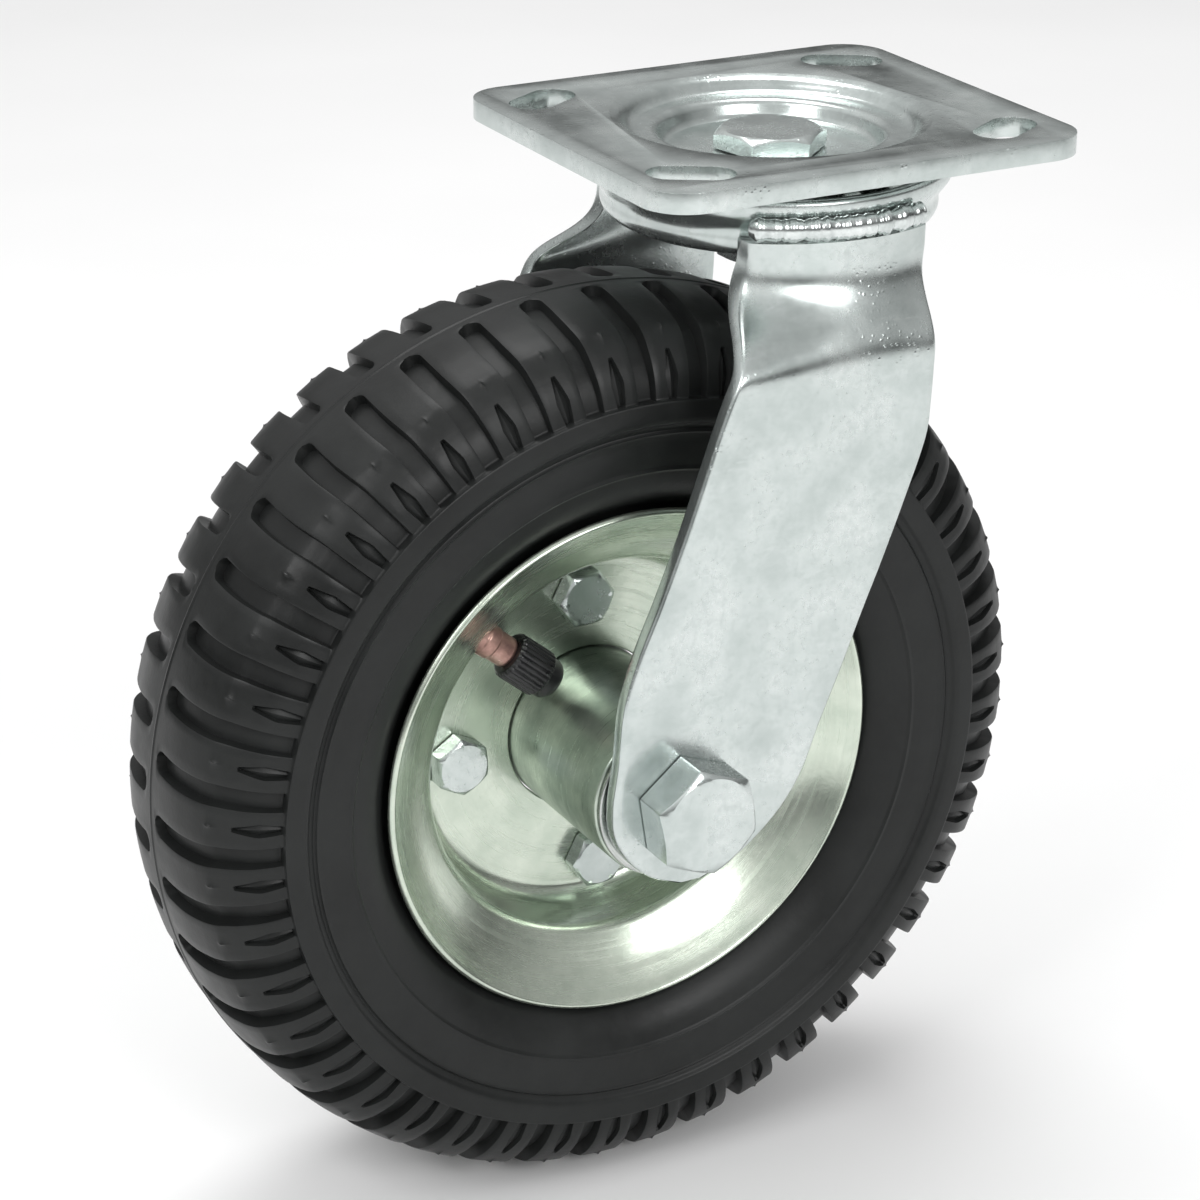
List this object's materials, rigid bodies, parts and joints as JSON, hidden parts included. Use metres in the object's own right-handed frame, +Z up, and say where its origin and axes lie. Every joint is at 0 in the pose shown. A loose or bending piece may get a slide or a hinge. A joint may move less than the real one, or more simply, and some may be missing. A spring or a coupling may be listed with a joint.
{
  "type": "gate wheel",
  "caption": "Swivel gate wheel with a slotted steel top plate, a raked welded fork and an air-filled rubber tyre on a bolted split rim.",
  "frame": {"origin": "on the swivel axis, in the flat top face of the mounting plate", "axes": "+Z up out of the plate, -X towards the trailing wheel, Y along the wheel's axle"},
  "size_m": [0.2258, 0.1321, 0.2603],
  "materials": {
    "zinc": "bright zinc plate",
    "weld": "plated weld bead",
    "rim_zinc": "pale green-yellow zinc plate",
    "bearing_steel": "ground",
    "tread_rubber": "moulded",
    "tube_rubber": "smooth",
    "copper": "dull",
    "cap_plastic": "moulded"
  },
  "bodies": {
    "plate": {"top_plate": "zinc", "kingpin_bolt": "zinc", "kingpin_nut": "zinc", "kingpin_spacer": "bearing_steel", "lower_race": "bearing_steel"},
    "swivel_balls": {"upper_ball_ring": "bearing_steel", "lower_ball_ring": "bearing_steel"},
    "fork": {"fork_crown": "zinc", "leg_near": "zinc", "leg_far": "zinc", "weld_bead_near": "weld", "weld_bead_far": "weld", "axle_bolt": "zinc", "axle_nut": "zinc", "axle_sleeve": "bearing_steel", "bearing_inner_race_near": "bearing_steel", "bearing_inner_race_far": "bearing_steel"},
    "hub_balls": {"bearing_balls_near": "bearing_steel", "bearing_balls_far": "bearing_steel"},
    "wheel": {"hub_tube": "rim_zinc", "bearing_outer_race_near": "bearing_steel", "bearing_outer_race_far": "bearing_steel", "bearing_shield_near": "bearing_steel", "bearing_shield_far": "bearing_steel", "rim_half_near": "rim_zinc", "rim_half_far": "rim_zinc", "rim_bolt_1": "zinc", "rim_bolt_2": "zinc", "rim_bolt_3": "zinc", "rim_bolt_4": "zinc", "rim_nut_1": "zinc", "rim_nut_2": "zinc", "rim_nut_3": "zinc", "rim_nut_4": "zinc", "tyre": "tread_rubber", "inner_tube": "tube_rubber", "valve_stem": "copper", "valve_cap": "cap_plastic"}
  },
  "joints": [
    {"name": "swivel", "type": "hinge", "parent": "plate", "child": "fork", "pos_m": [0, 0, 0], "axis": [0, 0, 1], "continuous": true},
    {"name": "wheel_spin", "type": "hinge", "parent": "fork", "child": "wheel", "pos_m": [-0.0498, 0, -0.1474], "axis": [0, 1, 0], "continuous": true},
    {"name": "swivel_ball_roll", "type": "hinge", "parent": "plate", "child": "swivel_balls", "pos_m": [0, 0, 0], "axis": [0, 0, 1], "continuous": true},
    {"name": "hub_ball_roll", "type": "hinge", "parent": "fork", "child": "hub_balls", "pos_m": [-0.0498, 0, -0.1474], "axis": [0, 1, 0], "continuous": true}
  ],
  "couplings": [
    {"joint": "swivel_ball_roll", "follows": "swivel", "ratio": 0.5},
    {"joint": "hub_ball_roll", "follows": "wheel_spin", "ratio": 0.5731}
  ]
}
